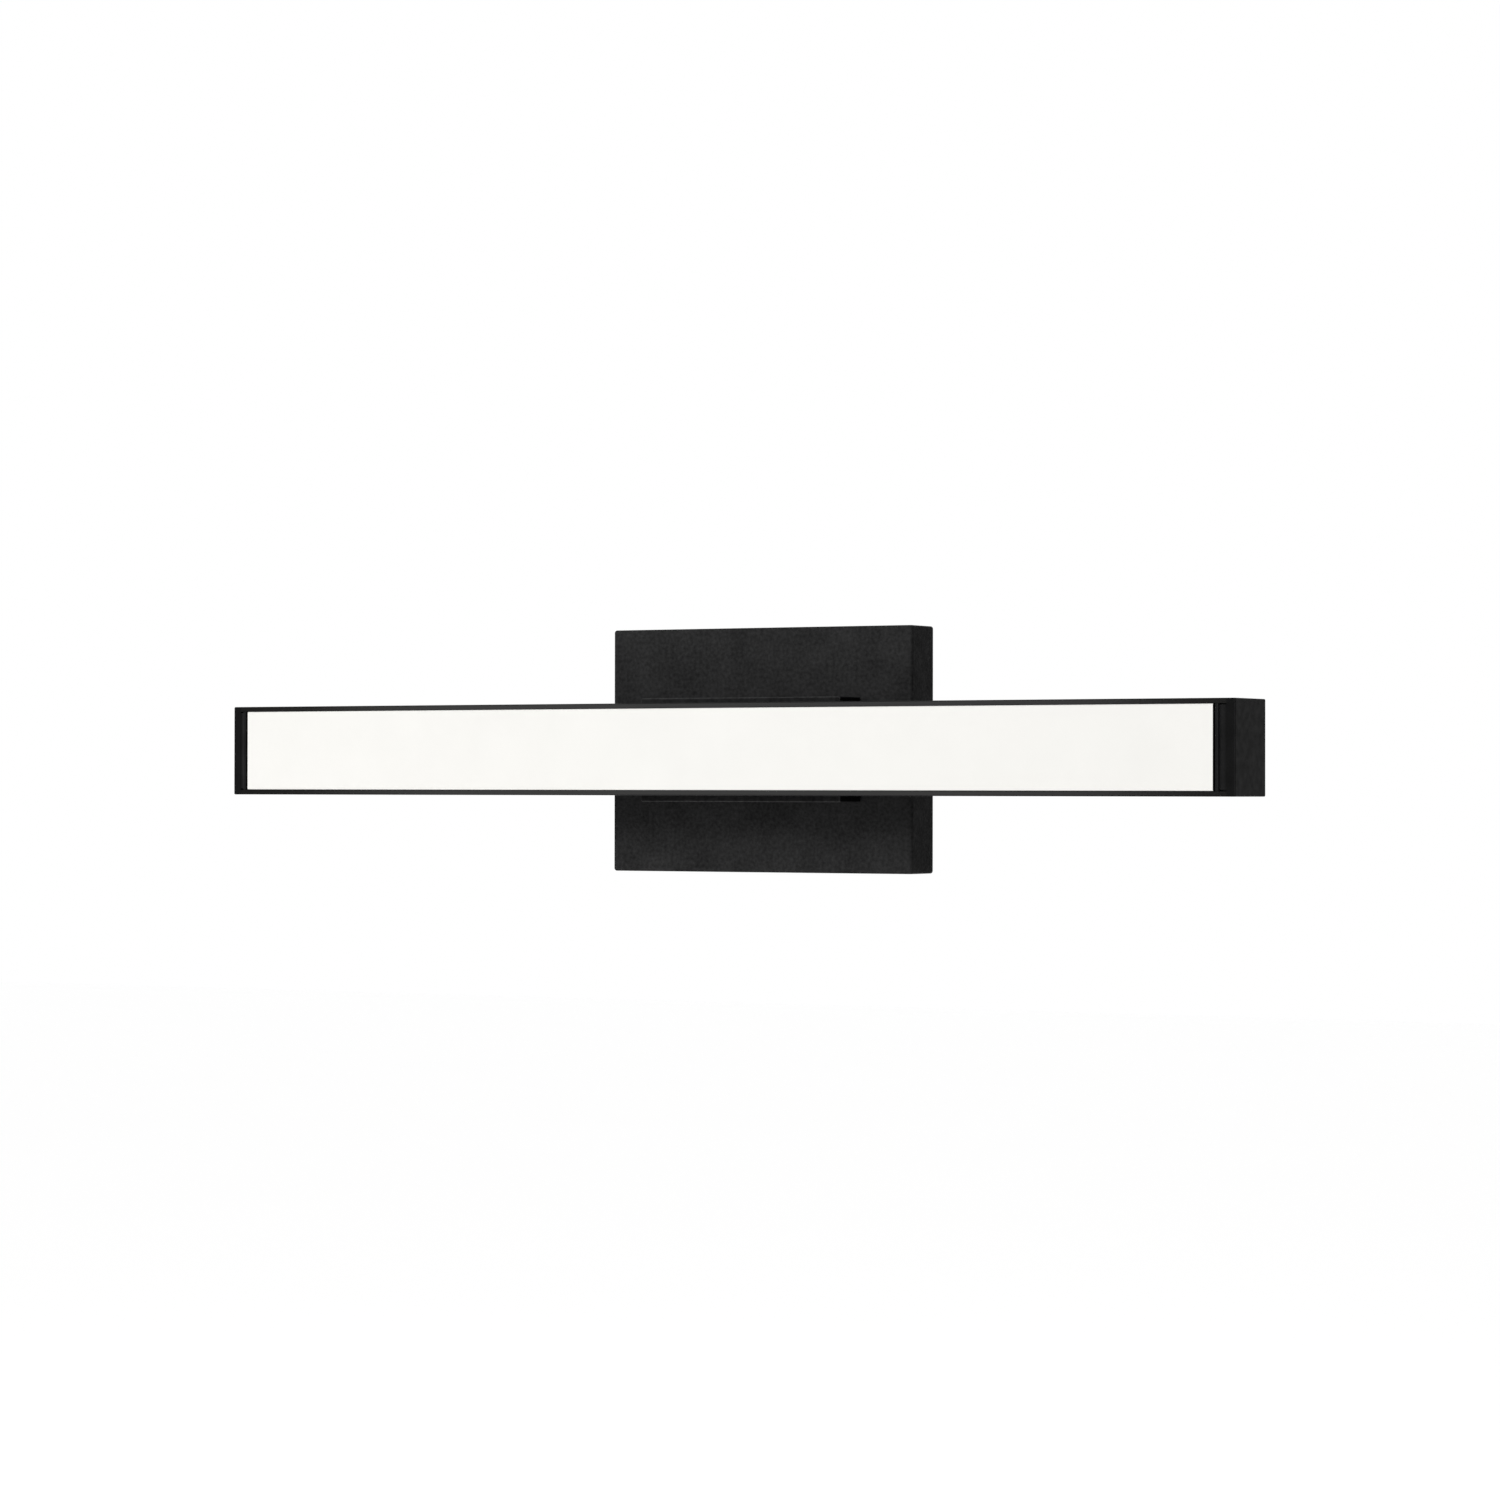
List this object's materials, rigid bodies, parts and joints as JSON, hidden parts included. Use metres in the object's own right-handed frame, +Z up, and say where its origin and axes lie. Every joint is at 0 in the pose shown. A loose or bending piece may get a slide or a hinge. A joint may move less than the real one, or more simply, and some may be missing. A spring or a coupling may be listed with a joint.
{
  "type": "vanity light bar",
  "caption": "Wall vanity light: a long rectangular black bar with a flat opal diffuser, carried on a standoff block and a shallow rectangular wall pan.",
  "frame": {"origin": "on the wall plane, at the centre of the mounting strap's two box-screw slots", "axes": "+X along the bar, +Y into the wall, +Z up; the light faces -Y"},
  "size_m": [0.6096, 0.0872, 0.132],
  "materials": {
    "powder_black": "matt black fine-texture powder coat",
    "housing_black": "satin black painted aluminium",
    "cap_black": "matt black moulding",
    "screw_black": "black passivated steel",
    "opal": "satin opal acrylic, lit from behind",
    "zinc_steel": "bright zinc plate",
    "brass": "turned brass",
    "green_screw": "green dyed zinc plate",
    "tinned_copper": "tinned copper",
    "bushing_nylon": "black nylon",
    "tray_aluminium": "mill finish",
    "board_white": "white solder mask",
    "led_phosphor": "yellow phosphor in a white package",
    "connector_white": "natural nylon",
    "reflector_white": "matt white sheet",
    "driver_white": "matt white moulding",
    "driver_green": "green solder mask",
    "component_dark": "moulded and sleeved components",
    "lead_white": "white insulation",
    "lead_black": "black insulation",
    "lead_green": "green insulation",
    "lead_red": "red insulation"
  },
  "bodies": {
    "root": {"canopy_pan": "powder_black", "standoff_block": "powder_black", "bar_housing": "housing_black", "end_cap_left": "cap_black", "end_cap_right": "cap_black", "canopy_side_screws": "screw_black", "end_cap_screws": "screw_black", "diffuser": "opal", "mounting_strap": "zinc_steel", "standoff_screws": "zinc_steel", "bar_screws": "zinc_steel", "board_screws": "zinc_steel", "stud_nuts": "zinc_steel", "ground_nut": "zinc_steel", "terminal_screws": "zinc_steel", "terminal_barrels": "brass", "strap_ground_screw": "green_screw", "ground_lug": "tinned_copper", "canopy_bushing": "bushing_nylon", "bar_bushing": "bushing_nylon", "led_tray": "tray_aluminium", "led_board": "board_white", "led_packages": "led_phosphor", "board_connector": "connector_white", "terminal_block": "connector_white", "reflector": "reflector_white", "driver_case": "driver_white", "driver_cover": "driver_white", "driver_board": "driver_green", "driver_components": "component_dark", "neutral_lead": "lead_white", "live_lead": "lead_black", "led_lead_negative": "lead_black", "ground_lead": "lead_green", "led_lead_positive": "lead_red"}
  },
  "joints": []
}
